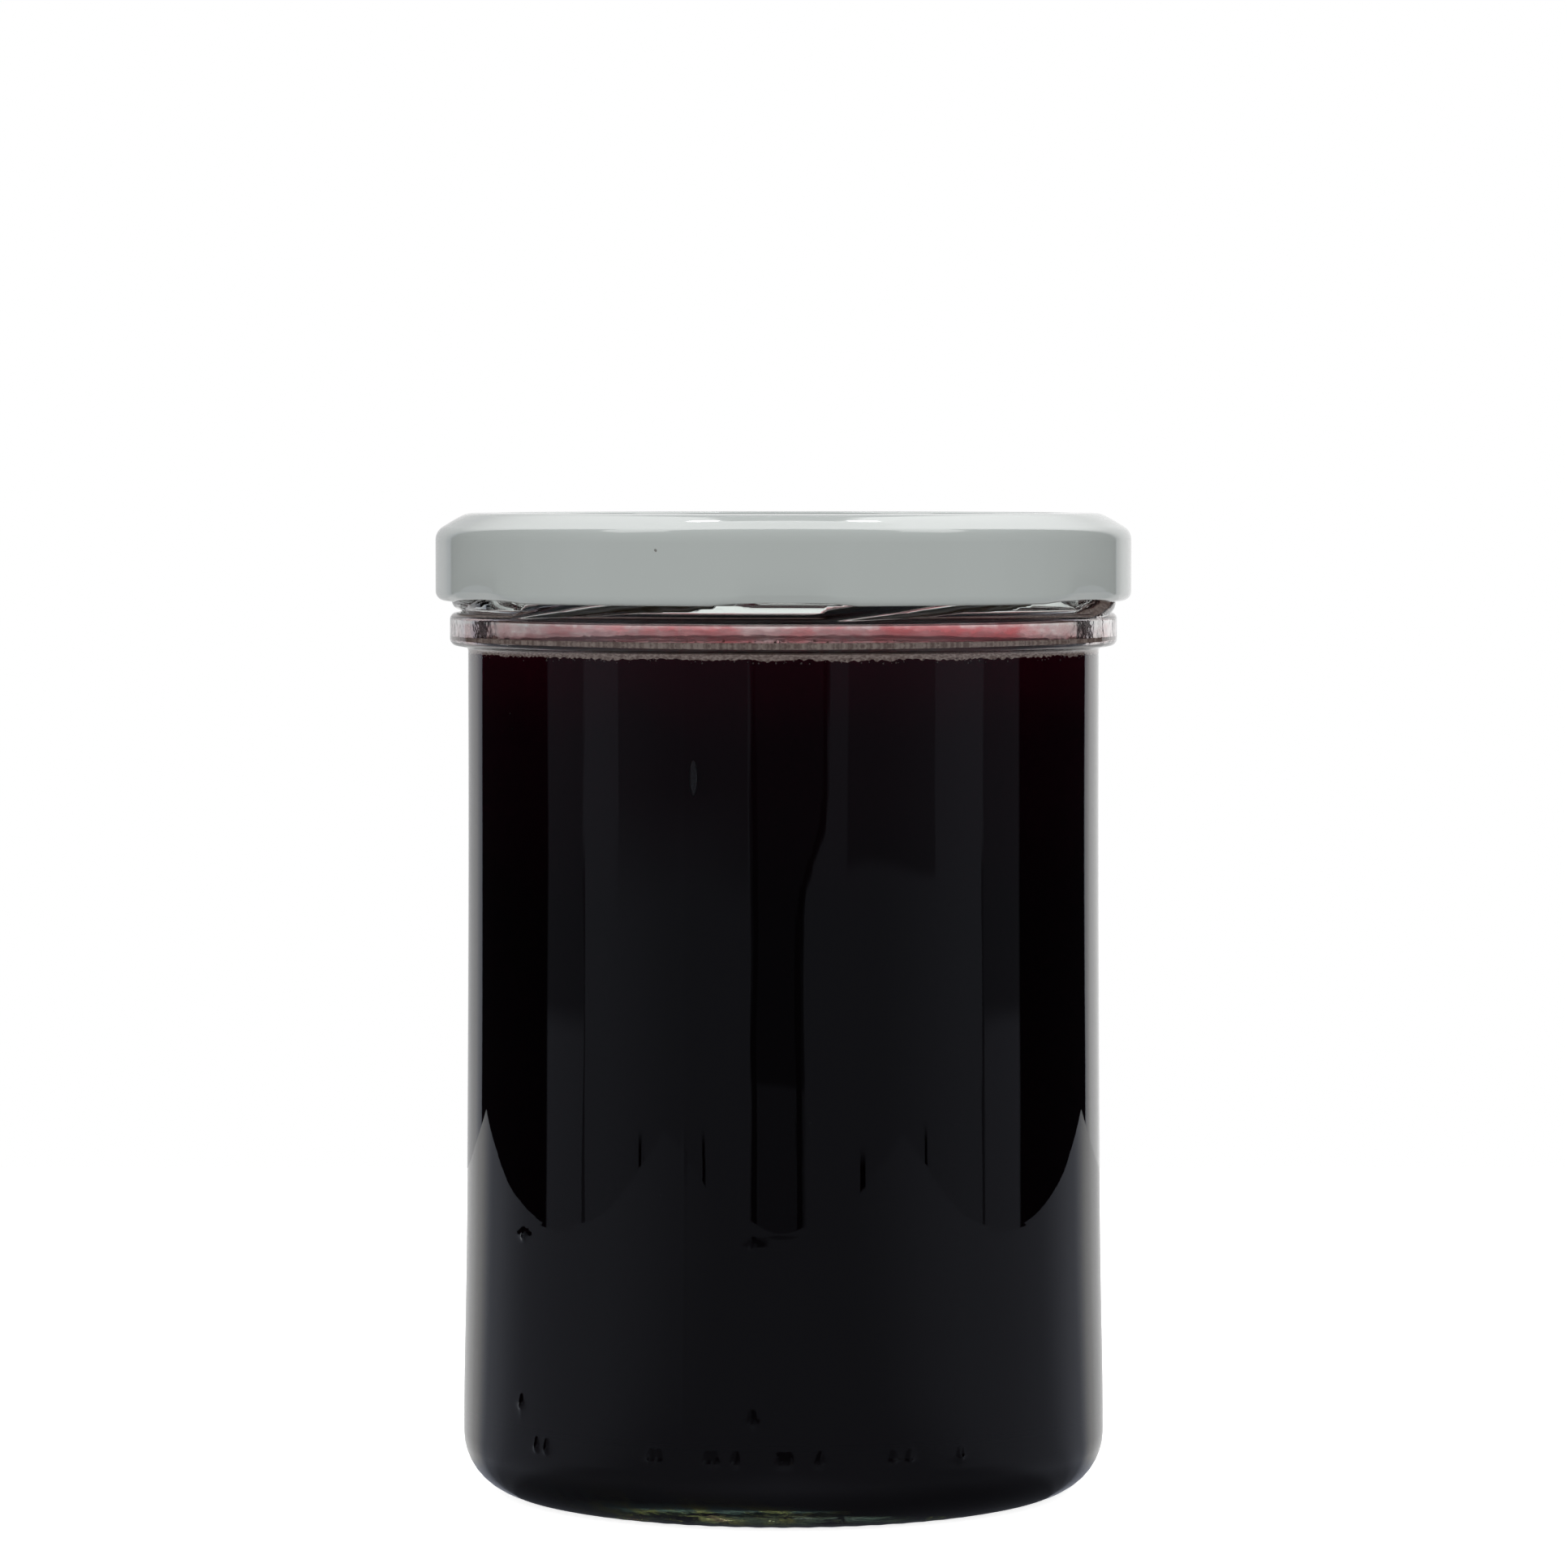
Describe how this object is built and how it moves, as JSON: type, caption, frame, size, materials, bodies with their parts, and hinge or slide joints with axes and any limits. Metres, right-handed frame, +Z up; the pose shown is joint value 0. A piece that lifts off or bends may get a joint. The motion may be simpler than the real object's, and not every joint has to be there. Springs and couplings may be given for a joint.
{
  "type": "twist-off jar",
  "caption": "Straight-sided glass jar filled with dark fruit jelly and closed with a pale lacquered twist-off cap.",
  "frame": {"origin": "centre of the base on the surface that the jar stands on", "axes": "+Z up along the jar's axis, -Y towards the front; the first cap lug and a thread's tip are at the front"},
  "size_m": [0.0854, 0.0854, 0.1202],
  "materials": {
    "clear_glass": "clear, smooth",
    "lacquered_tinplate": "glossy pale grey-green enamel",
    "sealing_compound": "matt, soft",
    "dark_fruit_jelly": "wet, very dark wine red"
  },
  "bodies": {
    "root": {"glass_jar": "clear_glass", "lid": "lacquered_tinplate", "sealing_ring": "sealing_compound", "fruit_jelly": "dark_fruit_jelly"}
  },
  "joints": []
}
